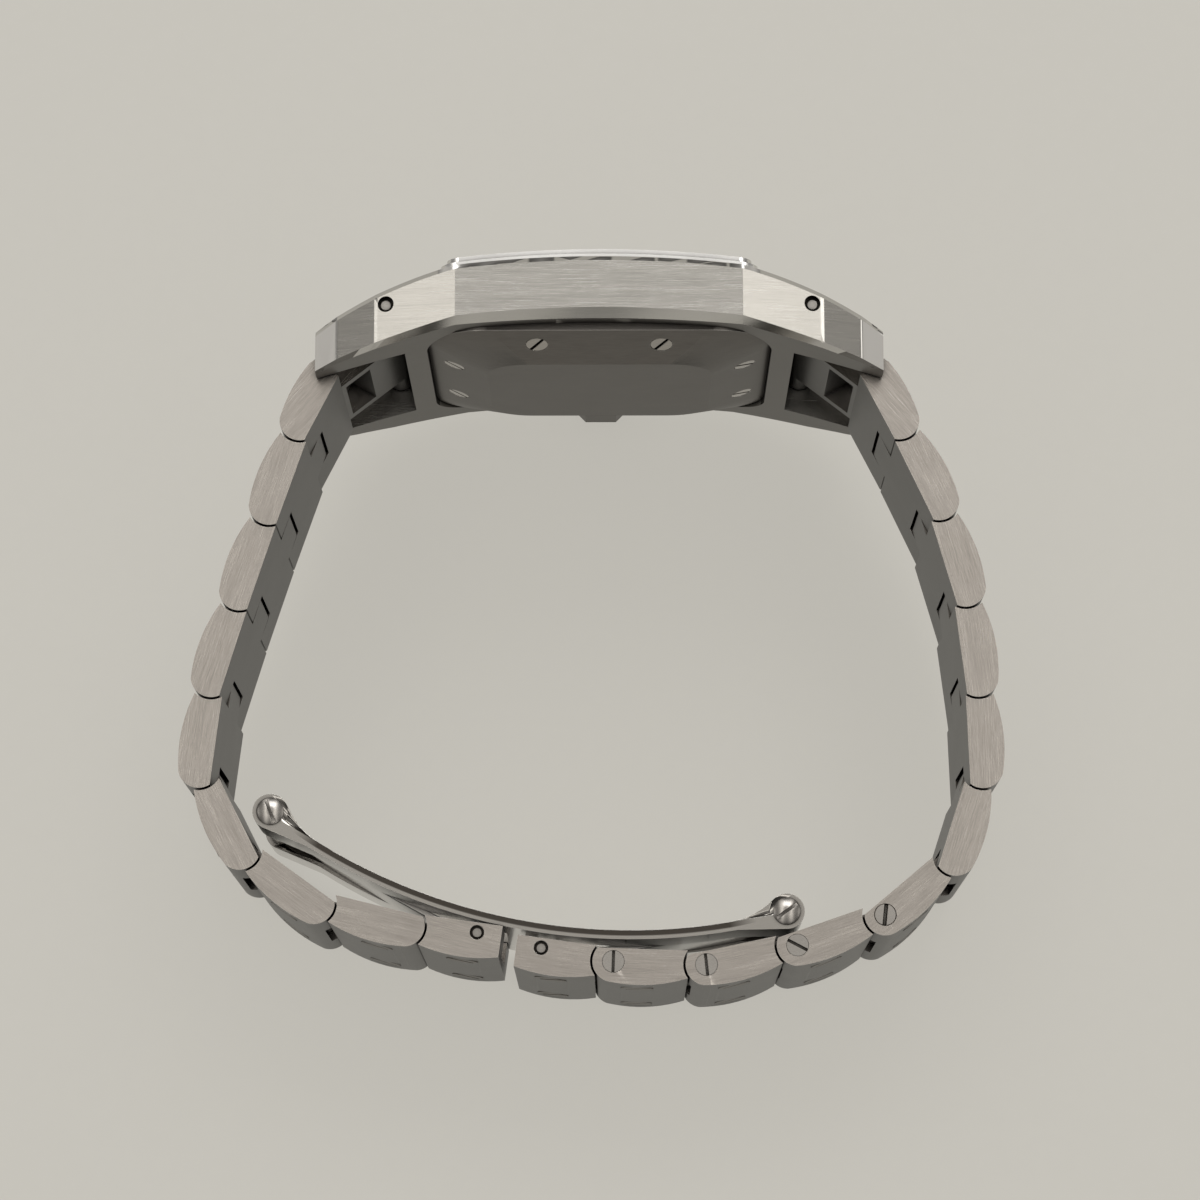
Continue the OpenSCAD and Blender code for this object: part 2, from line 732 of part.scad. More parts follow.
// Last link: it ends square at the clasp's gap, and a slot takes the arm
module end_link() {
    eye = [clasp_pin_x, clasp_pin_y];
    room = arm_eye_r + side_gap;
    difference() {
        union() {
            difference() {
                linear_extrude(height = link_w, center = true) between_faces(end_face_x)
                    translate([0, -link_in]) square([clasp_pin_x + end_link_tail, link_in + link_out]);
                cylinder(r = end_r + joint_gap, h = 2 * link_w, center = true);
            }
            tongue();
        }
        linear_extrude(height = arm_w + 2 * side_gap, center = true) {
            translate(eye) circle(r = room);
            translate([clasp_pin_x, -link_pitch])
                square([2 * end_link_tail, link_pitch + clasp_pin_y + room]);
            polygon([
                [arm_slot_x, -link_pitch], [arm_slot_x, -link_in], [2 * arm_slot_x, 0.2 - link_in],
                eye + [0, room], eye + [end_link_tail, -link_pitch]]);
        }
        translate(eye) cylinder(r = clasp_pin_r + pin_fit, h = 2 * link_w, center = true);
        for (z = [-1, 1])
            translate([eye[0], eye[1], z * link_w / 2])
                cylinder(r = clasp_mouth_r, h = 2 * clasp_mouth_t, center = true);
        deco_seats(end_face_x);
    }
}

// Draws any link by its number in the chain
module chain_link(dirs, side, k) {
    screwed = side > 0 && len(search(k, screwed_6)) > 0;
    color("darkgray") leaned()
        if (k == 1) at_hinge(dirs, side, 1, 1) lug_link();
        else at_hinge(dirs, side, k - 1, k)
            if (k == len(dirs)) end_link(); else link(screwed);
}

// Draws the pin or screw of a link's outer hinge, and its two slotted screws
module chain_pins(dirs, side, k) {
    screwed = side > 0 ? search(k, screwed_6) : [];
    color("silver") leaned()
        if (k == 1) at_hinge(dirs, side, 1, 1) {
            hinge_pin(0);
            deco_screws(face_x - link_pitch);
        } else at_hinge(dirs, side, k - 1, k) {
            if (k == len(dirs)) {
                translate([clasp_pin_x, clasp_pin_y, 0])
                    cylinder(r = clasp_pin_r, h = link_w - 2 * clasp_pin_short, center = true);
                deco_screws(end_face_x);
            } else {
                if (len(screwed) > 0) hinge_screw(link_pitch, screw_dirs[screwed[0]] - dirs[k - 1]);
                else hinge_pin(link_pitch);
                deco_screws(face_x);
            }
        }
}

// The blade is drawn with X along its span and Y towards the wrist
module on_blade() {
    translate(blade_12) rotate([0, 0, blade_dir]) children();
}

module ring_band(r_out, t) {
    difference() {
        circle(r = r_out, $fn = 360);
        circle(r = r_out - t, $fn = 360);
    }
}

// One end of the blade: the arc's centre is the origin and the knuckle lies straight below it
module blade_end() {
    hinge_at = [0, -knuckle_ring];
    fillet_dir = along(fillet_turn - 90);
    translate(hinge_at) circle(r = knuckle_r);
    difference() {
        polygon([hinge_at, (blade_in_r - fillet_r) * fillet_dir, (blade_in_r + 0.1) * fillet_dir]);
        translate((blade_in_r - fillet_r) * fillet_dir) circle(r = fillet_r, $fn = 180);
    }
    polygon([hinge_at, hinge_at + knuckle_r * along(-81.4), (blade_r - eps) * along(foot_turn - 90),
        (blade_in_r + 0.1) * fillet_dir]);
}

module clasp_blade() {
    color("silver") leaned() on_blade() difference() {
        linear_extrude(height = blade_w, center = true) {
            intersection() {
                translate([blade_span / 2, blade_arc_y]) ring_band(blade_r, blade_t);
                translate([0, -blade_span / 4]) square([blade_span, blade_span / 2]);
            }
            translate([blade_span / 2, blade_arc_y]) for (s = [0, 1])
                mirror([s, 0]) rotate([0, 0, -half_turn]) blade_end();
        }
        // Window in which the arms lie when the clasp is shut, with a bridge left in the middle
        for (s = [0, 1])
            translate([blade_span / 2, 0, 0]) mirror([s, 0, 0])
                translate([bridge_w / 2, -blade_span / 4, -arm_w / 2 - side_gap])
                    cube([blade_span, blade_span / 2, arm_w + 2 * side_gap]);
        for (x = [0, blade_span])
            translate([x, 0, 0]) cylinder(r = hinge_screw_r + pin_fit, h = 2 * blade_w, center = true);
    }
}

// Screws with domed heads on which the arms turn
module clasp_hinge_screws() {
    color("silver") leaned() on_blade() for (s = [0, 1]) translate([s * blade_span, 0, 0]) {
        translate([0, 0, -blade_w / 2]) cylinder(r = hinge_screw_r, h = blade_w + eps);
        translate([0, 0, blade_w / 2]) difference() {
            intersection() {
                cylinder(r = hinge_head_r, h = hinge_head_t);
                translate([0, 0, hinge_head_t - hinge_dome_r]) sphere(r = hinge_dome_r);
            }
            rotate([0, 0, hinge_slot_dirs[s]])
                translate([-hinge_dome_r, -hinge_slot_w / 2, hinge_head_t / 2.5])
                    cube([2 * hinge_dome_r, hinge_slot_w, hinge_head_t]);
        }
    }
}

// A bowed arm from its hinge in the blade, at the origin, to its pin in the end link
module arm(pin, bow) {
    arm_l = norm(pin);
    rotate([0, 0, atan2(pin[1], pin[0])]) difference() {
        linear_extrude(height = arm_w, center = true) {
            circle(r = arm_knuckle_r);
            translate([arm_l, 0]) circle(r = arm_eye_r);
            intersection() {
                translate([arm_l / 2, bow * sqrt(pow(arm_r, 2) - pow(arm_l / 2, 2))])
                    ring_band(arm_r + arm_t / 2, arm_t, $fn = 720);
                translate([0, -arm_l / 4]) square([arm_l, arm_l / 2]);
            }
        }
        cylinder(r = hinge_screw_r + run_fit, h = 2 * arm_w, center = true);
        translate([arm_l, 0, 0]) cylinder(r = clasp_pin_r + run_fit, h = 2 * arm_w, center = true);
    }
}

module clasp_arm_12() {
    color("gainsboro") leaned() translate(blade_12) arm(pin_12 - blade_12, 1);
}
module clasp_arm_6() {
    color("gainsboro") leaned() translate(blade_6) arm(pin_6 - blade_6, -1);
}

mid_case();
bezel();
bezel_screws();
crystal();
dial();
movement();
battery();
case_back();
case_back_gasket();
case_back_screws();
lug_bars();
stem();
crown();
hour_hand();
minute_hand();
seconds_hand();
clasp_blade();
clasp_arm_12();
clasp_arm_6();
clasp_hinge_screws();
for (k = [1:links_12]) {
    chain_link(dirs_12, -1, k);
    chain_pins(dirs_12, -1, k);
}
for (k = [1:links_6]) {
    chain_link(dirs_6, 1, k);
    chain_pins(dirs_6, 1, k);
}
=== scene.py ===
# %% [markdown]
# A square steel wristwatch lies on its crown side with its bracelet shut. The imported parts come
# in as a fixed frame, in metres. They could be modelled again in Blender, but their shapes are
# exact already, so this lesson gives them their finish: rounded edges that catch the light, satin
# faces with a grain that follows each link, and polished screws and clasp.

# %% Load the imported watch
import json
import math
import bpy
import bmesh
from mathutils import Matrix, Vector

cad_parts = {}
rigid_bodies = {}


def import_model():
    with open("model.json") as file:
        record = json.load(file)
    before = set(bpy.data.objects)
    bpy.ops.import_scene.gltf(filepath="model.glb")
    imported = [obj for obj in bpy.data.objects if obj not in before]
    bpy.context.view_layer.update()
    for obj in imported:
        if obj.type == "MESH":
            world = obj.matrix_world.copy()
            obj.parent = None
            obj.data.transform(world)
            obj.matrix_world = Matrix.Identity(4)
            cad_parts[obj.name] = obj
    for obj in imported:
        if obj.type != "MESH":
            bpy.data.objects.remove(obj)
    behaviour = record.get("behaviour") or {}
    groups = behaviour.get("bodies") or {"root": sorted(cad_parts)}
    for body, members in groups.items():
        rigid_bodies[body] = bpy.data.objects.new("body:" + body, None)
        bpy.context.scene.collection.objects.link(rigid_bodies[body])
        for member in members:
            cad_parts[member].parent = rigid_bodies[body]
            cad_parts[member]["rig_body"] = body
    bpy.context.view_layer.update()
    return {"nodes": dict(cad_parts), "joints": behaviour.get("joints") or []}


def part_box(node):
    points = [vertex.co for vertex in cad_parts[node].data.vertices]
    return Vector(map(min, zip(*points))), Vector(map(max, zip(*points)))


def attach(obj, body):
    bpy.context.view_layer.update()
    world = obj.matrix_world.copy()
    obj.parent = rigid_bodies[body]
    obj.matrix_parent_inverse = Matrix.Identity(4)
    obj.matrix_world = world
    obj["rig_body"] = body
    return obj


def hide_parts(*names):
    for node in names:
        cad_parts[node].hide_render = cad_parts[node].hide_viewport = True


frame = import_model()
MM = 0.001
joints = {joint["name"]: joint for joint in frame["joints"]}
print("nodes:", len(frame["nodes"]), "joints:", len(joints))

# %% [markdown]
# The watch leans on its crown, so its own axes are tilted. The pins of the clasp run straight
# across the bracelet, which makes the clasp's hinge axis the best place to read the tilt from.

# %% The watch's own axes
ACROSS = Vector(joints["clasp_open"]["axis"]).normalized()
LENGTH = Vector((1, 0, 0))
UPRIGHT = ACROSS.cross(LENGTH).normalized()
lean = math.atan2(-ACROSS.y, ACROSS.z)
lowest = min(v.co.z for node in frame["nodes"].values() for v in node.data.vertices)
print("lean in degrees:", round(math.degrees(lean), 2))
print("lowest point in mm:", round(lowest / MM, 2))

# %% [markdown]
# The camera was found by laying the hinge positions over the photograph: it stands about 31 cm
# away, a little below the clasp, and looks along the pins. A long lens keeps the far edges of the
# links almost as large as the near ones. Its place is worked out in the watch's own axes, in
# millimetres, and then turned with the lean of the watch.

# %% Camera
PHOTO_PIXELS = 1200
FOCAL_PIXELS = 4210.9
SENSOR_WIDTH = 36
TILT, TURN, ROLL = (math.radians(angle) for angle in (-10.56, -0.24, 0.04))
DISTANCE = 311.6
BACK_OFFSET = 15.9
turned = (Matrix.Rotation(ROLL, 3, "Z") @ Matrix.Rotation(TILT, 3, "X")
          @ Matrix.Rotation(TURN, 3, "Y"))
watch_axes = Matrix((LENGTH, UPRIGHT, ACROSS)).transposed()
eye = turned.transposed() @ Vector((0, 0, DISTANCE))
eye.y -= BACK_OFFSET
camera_data = bpy.data.cameras.new("photo_camera")
camera_data.sensor_width = SENSOR_WIDTH
camera_data.lens = FOCAL_PIXELS / PHOTO_PIXELS * SENSOR_WIDTH
camera_data.clip_start, camera_data.clip_end = 0.01, 20
camera = bpy.data.objects.new("photo_camera", camera_data)
camera.matrix_world = (Matrix.Translation(watch_axes @ eye * MM)
                       @ (watch_axes @ turned.transposed()).to_4x4())
bpy.context.scene.collection.objects.link(camera)
bpy.context.scene.camera = camera
print("camera at", [round(c, 4) for c in camera.matrix_world.translation])

# %% [markdown]
# Shader maths reads best as ordinary expressions. One small class wraps a socket, so that
# 1 - mask or wave * 0.3 adds the Math node it needs.


# %% A socket that does maths
class Wire:
    def __init__(self, tree, socket):
        self.tree, self.socket = tree, socket

    def maths(self, operation, *values):
        node = self.tree.nodes.new("ShaderNodeMath")
        node.operation = operation
        for slot, value in zip(node.inputs, values):
            if isinstance(value, Wire):
                self.tree.links.new(value.socket, slot)
            else:
                slot.default_value = value
        return Wire(self.tree, node.outputs[0])

    def __add__(self, other):
        return self.maths("ADD", self, other)

    def __radd__(self, other):
        return self.maths("ADD", other, self)

    def __sub__(self, other):
        return self.maths("SUBTRACT", self, other)

    def __rsub__(self, other):
        return self.maths("SUBTRACT", other, self)

    def __mul__(self, other):
        return self.maths("MULTIPLY", self, other)

    def __rmul__(self, other):
        return self.maths("MULTIPLY", other, self)

    def clipped(self):
        return self.maths("MINIMUM", self.maths("MAXIMUM", self, 0.0), 1.0)


print("sockets can be added, subtracted, multiplied and clipped")

# %% [markdown]
# Every other node comes from one method. It takes the node's type, its settings and what its
# sockets are fed with. Some nodes have several sockets of the same name, and these are reached
# by their number. A finish is such a tree together with the material that it belongs to.


# %% A tree of nodes, and a finish
class Shader:
    def __init__(self, tree):
        self.tree = tree

    def node(self, kind, settings=None, output=0, numbered=None, **sockets):
        node = self.tree.nodes.new("ShaderNode" + kind)
        for name, value in (settings or {}).items():
            if name == "stops":
                self.set_stops(node.color_ramp, value)
            else:
                setattr(node, name, value)
        for name, value in sockets.items():
            self.feed(node.inputs[name.replace("_", " ")], value)
        for number, value in (numbered or {}).items():
            self.feed(node.inputs[number], value)
        return Wire(self.tree, node.outputs[output])

    def set_stops(self, ramp, stops):
        while len(ramp.elements) > len(stops):
            ramp.elements.remove(ramp.elements[-1])
        while len(ramp.elements) < len(stops):
            ramp.elements.new(1.0)
        for element, (place, colour) in zip(ramp.elements, stops):
            element.position, element.color = place, (*colour, 1)

    def blend(self, factor, low, high):
        return self.node("Mix", {"data_type": "RGBA"}, 2, {0: factor, 6: low, 7: high})

    def feed(self, slot, value):
        if isinstance(value, Wire):
            self.tree.links.new(value.socket, slot)
        else:
            slot.default_value = value


class Finish(Shader):
    def __init__(self, name):
        self.material = bpy.data.materials.new(name)
        self.material.use_nodes = True
        super().__init__(self.material.node_tree)
        self.surface = self.tree.nodes["Principled BSDF"]

    def set(self, **sockets):
        for name, value in sockets.items():
            self.feed(self.surface.inputs[name.replace("_", " ")], value)
        return self


print("one method makes all other nodes, and a finish holds its material")

# %% [markdown]
# Satin steel gets its look from thousands of parallel scratches. They could come from a picture
# of brushed metal, but a picture repeats and has one direction. So every part carries a map in
# millimetres whose first axis follows its own length. A noise that is stretched along that axis
# gives the scratches, and feeds roughness, colour and bump. Where two parts nearly touch, ambient
# occlusion finds the gap, and a near-black colour is mixed in there as painted shade.

# %% Satin steel
GRAIN = "grain"
SCRATCH_DEPTH = 0.02 * MM
GAP_SHADE = (0.03, 0.027, 0.024)
GAP_SHADE_GAIN, GAP_SHADE_START = 1.7, 0.55


def scratches(finish, length_mm, width_mm, seed=0.0):
    place = finish.node("UVMap", {"uv_map": GRAIN})
    scaled = finish.node("Mapping", Vector=place, Scale=(1 / length_mm, 1 / width_mm, 1),
                         Location=(seed, seed, seed))
    return finish.node("TexNoise", Vector=scaled, Scale=1.0, Detail=3.0, Roughness=0.6)


# Painted shade: the colour turns near black where ambient occlusion finds another part close by.
def painted_gap_shade(finish, colour, reach_mm):
    openness = finish.node("AmbientOcclusion", {"samples": 6}, output=1, Distance=reach_mm * MM)
    return finish.blend((openness * GAP_SHADE_GAIN - GAP_SHADE_START).clipped(), (*GAP_SHADE, 1), colour)


def satin(name, light, dark, rough, length_mm=2.2, width_mm=0.07, bump=0.25, reach_mm=0.7,
          rim=1.0):
    finish = Finish(name)
    fine = scratches(finish, length_mm, width_mm)
    broad = scratches(finish, length_mm * 3, width_mm * 9, seed=7.0)
    blotch = finish.node("TexNoise", Vector=finish.node("TexCoord", output=3), Scale=260.0,
                         Detail=2.0)
    mark = (fine * 0.6 + broad * 0.4).clipped()
    colour = finish.node("ValToRGB", {"stops": [(0.3, dark), (0.7, light)]}, Fac=mark)
    relief = finish.node("Bump", Height=fine, Strength=bump, Distance=SCRATCH_DEPTH)
    return finish.set(Base_Color=painted_gap_shade(finish, colour, reach_mm), Metallic=1.0,
                      Specular_Tint=(rim, rim, rim, 1),
                      Roughness=(rough - 0.06) + 0.12 * mark + 0.04 * blotch, Normal=relief)


steel_face = satin("satin_link_steel", (0.51, 0.475, 0.437), (0.36, 0.332, 0.304), 0.24, bump=0.4)
# The links' other faces take a darker copy of the same steel: painted shade.
steel_side_shaded = satin("satin_link_side_painted_shade", (0.235, 0.232, 0.228), (0.17, 0.168, 0.164), 0.30,
                   bump=0.4, rim=0.6)
steel_case = satin("brushed_case_steel", (0.50, 0.485, 0.455), (0.38, 0.37, 0.345), 0.24,
                   length_mm=4.0, width_mm=0.06, bump=0.4)
# Darker copies for the case's underside, its back and the crown: painted shade.
steel_under_shaded = satin("satin_under_painted_shade", (0.23, 0.22, 0.21), (0.175, 0.17, 0.16), 0.34,
                    length_mm=2.0, width_mm=0.1, bump=0.3, reach_mm=1.2, rim=0.7)
steel_back_shaded = satin("satin_back_painted_shade", (0.19, 0.18, 0.168), (0.14, 0.132, 0.124), 0.32,
                   length_mm=1.2, width_mm=0.1, bump=0.35, reach_mm=1.2, rim=0.7)
print("satin:", steel_face.material.name, steel_case.material.name, steel_back_shaded.material.name)

# %% [markdown]
# Polished steel is almost a mirror. A perfect mirror would do for a first try, but it looks like
# chrome on glass. What makes it real is a faint unevenness: hairlines from wear and a slow ripple
# from the polishing wheel, both very shallow. The rim value tones down what the steel mirrors at
# a grazing angle, which keeps faces that look away from the light dark.

# %% Polished steel
HAIRLINE_DEPTH = 0.01 * MM


def polished(name, colour, rough=0.12, wear=0.5, reach_mm=0.5, rim=1.0):
    finish = Finish(name)
    point = finish.node("TexCoord", output=3)
    ripple = finish.node("TexNoise", Vector=point, Scale=180.0, Detail=2.0)
    drawn = finish.node("Mapping", Vector=point, Scale=(900, 9000, 9000))
    hairline = finish.node("TexNoise", Vector=drawn, Scale=1.0, Detail=2.0)
    tone = tuple(c * 0.9 for c in colour)
    relief = finish.node("Bump", Height=hairline, Strength=0.08 * wear, Distance=HAIRLINE_DEPTH)
    shade = finish.node("ValToRGB", {"stops": [(0.3, tone), (0.7, colour)]}, Fac=ripple)
    return finish.set(Base_Color=painted_gap_shade(finish, shade, reach_mm), Metallic=1.0,
                      Specular_Tint=(rim, rim, rim, 1),
                      Roughness=rough + 0.06 * ripple + 0.05 * wear * hairline, Normal=relief)


steel_edge = polished("polished_edge_steel", (0.74, 0.72, 0.69), 0.2)
steel_bright = polished("polished_steel", (0.70, 0.69, 0.67), 0.1)
steel_clasp = polished("polished_clasp_steel", (0.60, 0.58, 0.555), 0.14)
steel_mirror = polished("mirror_case_steel", (0.56, 0.55, 0.53), 0.1)
# The bezel's side is brighter than steel can be: a painted highlight.
steel_bezel_sheen = polished("bezel_side_painted_highlight", (0.87, 0.865, 0.85), 0.22)
# Near-black steel for the broken edges of pins, crown and hinge screws: painted shade at their rims.
steel_shade_rim = polished("painted_shade_rim_steel", (0.10, 0.088, 0.076), 0.12, rim=0.4)
steel_line = polished("bright_edge_steel", (0.66, 0.64, 0.61), 0.16, reach_mm=0.15)
screw_steel = polished("screw_steel", (0.42, 0.40, 0.375), 0.22, wear=1.0)
# Pin faces that don't look out of the side get this darker copy of the screw steel: painted shade.
pin_steel_shaded = polished("link_pin_painted_shade", (0.33, 0.315, 0.295), 0.26, wear=1.0, rim=0.45)
print("polished:", steel_edge.material.name, steel_clasp.material.name, pin_steel_shaded.material.name)

# %% [markdown]
# The dial is painted, the hands are blued, and the gasket is rubber. One flat colour would look
# like plastic, and these small surfaces need no more than a fine speck in colour and roughness.
# The crystal is clear sapphire, with a roughness that hardly changes over it.


# %% Paint, rubber and glass
def plain(name, colour, metallic, rough, grain=0.04):
    finish = Finish(name)
    speck = finish.node("TexNoise", Vector=finish.node("TexCoord", output=3), Scale=3000.0,
                        Detail=2.0)
    shade = tuple(c * 0.85 for c in colour)
    paint = finish.node("ValToRGB", {"stops": [(0.3, shade), (0.7, colour)]}, Fac=speck)
    return finish.set(Base_Color=paint, Metallic=metallic, Roughness=rough + grain * speck)


dial_paint = plain("dial_paint", (0.80, 0.79, 0.75), 0.0, 0.45)
dial_ink = plain("dial_mark_paint", (0.015, 0.015, 0.02), 0.0, 0.4)
blued = plain("blued_hand_steel", (0.02, 0.04, 0.16), 0.9, 0.2)
rubber = plain("gasket_rubber", (0.02, 0.02, 0.02), 0.0, 0.7)
works = plain("movement_metal", (0.50, 0.45, 0.34), 1.0, 0.35)
glass = Finish("crystal_glass")
glass_ripple = glass.node("TexNoise", Vector=glass.node("TexCoord", output=3), Scale=60.0)
glass.set(Base_Color=(0.97, 0.98, 1.0, 1), Roughness=0.02 + 0.02 * glass_ripple, IOR=1.76,
          Transmission_Weight=1.0)
print("painted and clear:", dial_paint.material.name, blued.material.name, glass.material.name)

# %% [markdown]
# Machined parts have crisp edges that are still broken by a tenth of a millimetre, and these thin
# bright lines are what makes steel look like steel. The frame's meshes come as triangles with
# sharp edges. So each part is copied, and the triangles of one flat face are merged first,
# because a bevel would stumble over the lines between them.

# %% Merging flat faces
WELD = 0.002 * MM
FLAT_DEGREES = 0.15


def flat_faces(mesh):
    work = bmesh.new()
    work.from_mesh(mesh)
    bmesh.ops.remove_doubles(work, verts=work.verts, dist=WELD)
    bmesh.ops.dissolve_limit(work, angle_limit=math.radians(FLAT_DEGREES), verts=work.verts,
                             edges=work.edges)
    work.to_mesh(mesh)
    work.free()


print("faces merge below a bend of", FLAT_DEGREES, "degrees")

# %% [markdown]
# Brushing leaves its scratches along a part. Blender could unwrap each mesh, but an unwrapped map
# turns its islands as it likes. Here the map is laid face by face: its first axis is the part's
# direction, pressed into the plane of the face. On an end face that direction is nearly square to
# the face, so the scratches run across instead.

# %% The grain map
SHORTEST_RUN = 0.3


def grain_map(mesh, along):
    along = along.normalized()
    layer = mesh.uv_layers.new(name=GRAIN)
    for face in mesh.polygons:
        run = along - face.normal * along.dot(face.normal)
        if run.length < SHORTEST_RUN:
            run = ACROSS - face.normal * ACROSS.dot(face.normal)
        run.normalize()
        side = face.normal.cross(run)
        for corner in face.loop_indices:
            point = mesh.vertices[mesh.loops[corner].vertex_index].co / MM
            layer.data[corner].uv = (point.dot(run), point.dot(side))


print("grain maps are in millimetres and are called", GRAIN)

# %% [markdown]
# One part can carry several finishes. Which one a face gets depends on how squarely it looks out
# of the watch's side: links are satin there and elsewhere darker with painted shade, and the case
# goes from brushed flanks over polished bevels to a satin underside, darkened with painted shade.

# %% Which face gets which finish
SIDEWAYS = 0.7
FLANK, BEVEL = 0.9, 0.3


def side_faces(normal):
    return 0 if abs(normal.dot(ACROSS)) > SIDEWAYS else 1


def case_faces(normal):
    if abs(normal.dot(ACROSS)) > FLANK:
        return 0
    return 1 if abs(normal.dot(ACROSS)) > BEVEL else 2


def sort_faces(mesh, rule):
    for face in mesh.polygons:
        face.material_index = rule(face.normal)


print("flanks lie within", round(math.degrees(math.acos(FLANK))), "degrees of the watch's side")

# %% [markdown]
# The real bevel comes from Blender's modifier, which finds the edges by their angle. A beveled
# mesh looks right only if its normals do. Weighting them by area is a good start, but a broad flat
# face that shares corners with a curve then gets a false gradient, which brushed steel shows at
# once. So broad side faces and faces with many corners keep their own normal.

# %% Bevels and normals
BROAD_FACE = 3 * MM * MM
MANY_CORNERS = 8


def applied(piece):
    depsgraph = bpy.context.evaluated_depsgraph_get()
    shaped = bpy.data.meshes.new_from_object(piece.evaluated_get(depsgraph))
    piece.modifiers.clear()
    piece.data = shaped
    return shaped


def keep_flat(mesh):
    normals = [corner.vector.copy() for corner in mesh.corner_normals]
    for face in mesh.polygons:
        broad = face.area > BROAD_FACE and abs(face.normal.dot(ACROSS)) > SIDEWAYS
        if broad or face.loop_total > MANY_CORNERS:
            for corner in face.loop_indices:
                normals[corner] = face.normal.copy()
    mesh.normals_split_custom_set(normals)


def broken_edges(piece, width_mm, segments, angle, finish_index):
    bevel = piece.modifiers.new("broken_edges", "BEVEL")
    bevel.width = width_mm * MM
    bevel.segments = segments
    bevel.limit_method = "ANGLE"
    bevel.angle_limit = angle
    bevel.material = finish_index
    bevel.miter_outer = "MITER_ARC"
    return applied(piece)


def even_shading(piece, angle):
    for face in piece.data.polygons:
        face.use_smooth = True
    piece.data.set_sharp_from_angle(angle=angle)
    even = piece.modifiers.new("even_shading", "WEIGHTED_NORMAL")
    even.weight = 100
    even.keep_sharp = True
    keep_flat(applied(piece))


print("faces over", round(BROAD_FACE / MM / MM), "square mm on the sides stay flat")

# %% [markdown]
# Now the steps come together. The copy takes its finishes, the last of which goes on the broken
# edges, and it rides the same body as the part that it stands in for. A part whose surface is
# never seen closely keeps its own mesh and only gets a finish.


# %% Rounded copies and dressed parts
def rounded(node, width_mm, finishes, along=LENGTH, segments=2, degrees=32, rule=None,
            before=None):
    source = frame["nodes"][node]
    mesh = source.data.copy()
    mesh.materials.clear()
    for finish in finishes:
        mesh.materials.append(finish.material)
    flat_faces(mesh)
    if before:
        before(mesh)
    if rule:
        sort_faces(mesh, rule)
    piece = bpy.data.objects.new(node + "_finished", mesh)
    bpy.context.scene.collection.objects.link(piece)
    broken_edges(piece, width_mm, segments, math.radians(degrees), len(finishes) - 1)
    even_shading(piece, math.radians(degrees))
    grain_map(piece.data, along)
    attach(piece, source["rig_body"])
    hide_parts(node)


def dressed(node, finish, along=LENGTH):
    mesh = frame["nodes"][node].data
    mesh.materials.clear()
    mesh.materials.append(finish.material)
    grain_map(mesh, along)
    return mesh


print("parts to finish:", len(frame["nodes"]))

# %% [markdown]
# Each link is brushed along its length, and on its sides too. All links could take one common
# direction, but the bracelet curves, so each gets its own from the hinges: the line from one hinge
# to the next is the way its scratches run. The two end links have a hinge on one side only, and
# there the middle of the link takes the place of the second hinge.


# %% The bracelet's links
def hinge_place(side, number):
    name = f"lug_hinge_{side}" if number == 0 else f"link_hinge_{side}_{number}"
    if name in joints:
        return Vector(joints[name]["pos_m"])
    low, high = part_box(f"link_{side}_{number}")
    return (low + high) / 2


counts = {side: sum(name.startswith(f"link_hinge_{side}_") for name in joints) + 1
          for side in (12, 6)}
for side, count in counts.items():
    for number in range(1, count + 1):
        along = hinge_place(side, number) - hinge_place(side, number - 1)
        rounded(f"link_{side}_{number}", 0.13, [steel_face, steel_side_shaded, steel_edge], along,
                rule=side_faces)
        rounded(f"link_{side}_{number}_pins", 0.05, [screw_steel, pin_steel_shaded, steel_shade_rim], along,
                rule=side_faces)
print("links:", counts)

# %% [markdown]
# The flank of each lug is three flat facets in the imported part. On the real case the two outer
# bends are worked into a curve. A smooth shading alone would leave their outline angular, so
# they get a wide, finely stepped bevel before anything else.

# %% Softer lugs
LUG_START = 14 * MM
LUG_SOFTENING = 2.0 * MM
LUG_STEPS = 6
LEAST_BEND, MOST_BEND = 5, 30


def soften_lugs(mesh):
    work = bmesh.new()
    work.from_mesh(mesh)
    bends = []
    for edge in work.edges:
        on_lug = all(abs(v.co.x) > LUG_START for v in edge.verts)
        if len(edge.link_faces) != 2 or not on_lug:
            continue
        sides = [face.normal for face in edge.link_faces]
        bend = math.degrees(sides[0].angle(sides[1]))
        outward = all(abs(normal.dot(ACROSS)) > SIDEWAYS for normal in sides)
        if outward and LEAST_BEND < bend < MOST_BEND:
            bends.append(edge)
    bmesh.ops.bevel(work, geom=bends, offset=LUG_SOFTENING, offset_type="WIDTH",
                    segments=LUG_STEPS, profile=0.5, affect="EDGES", clamp_overlap=True)
    work.to_mesh(mesh)
    work.free()
    print("softened bends:", len(bends))


# %% [markdown]
# The case is one block of steel: brushed flanks, polished bevels, a screwed bezel whose side is
# brightened with a painted highlight, and a back with a softer satin. Back, underside and crown
# are darker with painted shade. The case's bends are shallow, so its edges are broken from 9
# degrees on. The stem is mostly hidden and the crystal's polish is in its glass, so both keep
# their own mesh.

# %% The case
rounded("mid_case", 0.18, [steel_case, steel_mirror, steel_under_shaded, steel_edge], degrees=9,
        rule=case_faces, before=soften_lugs)
rounded("bezel", 0.12, [steel_bezel_sheen, steel_bright, steel_mirror], rule=side_faces)
rounded("case_back", 0.1, [steel_back_shaded, steel_edge])
for name in ("bezel_screws", "case_back_screws", "lug_bars"):
    rounded(name, 0.06, [screw_steel, screw_steel])
rounded("crown", 0.1, [steel_back_shaded, steel_shade_rim], ACROSS)
dressed("stem", steel_bright, ACROSS)
dressed("crystal", glass)
print("case finished")

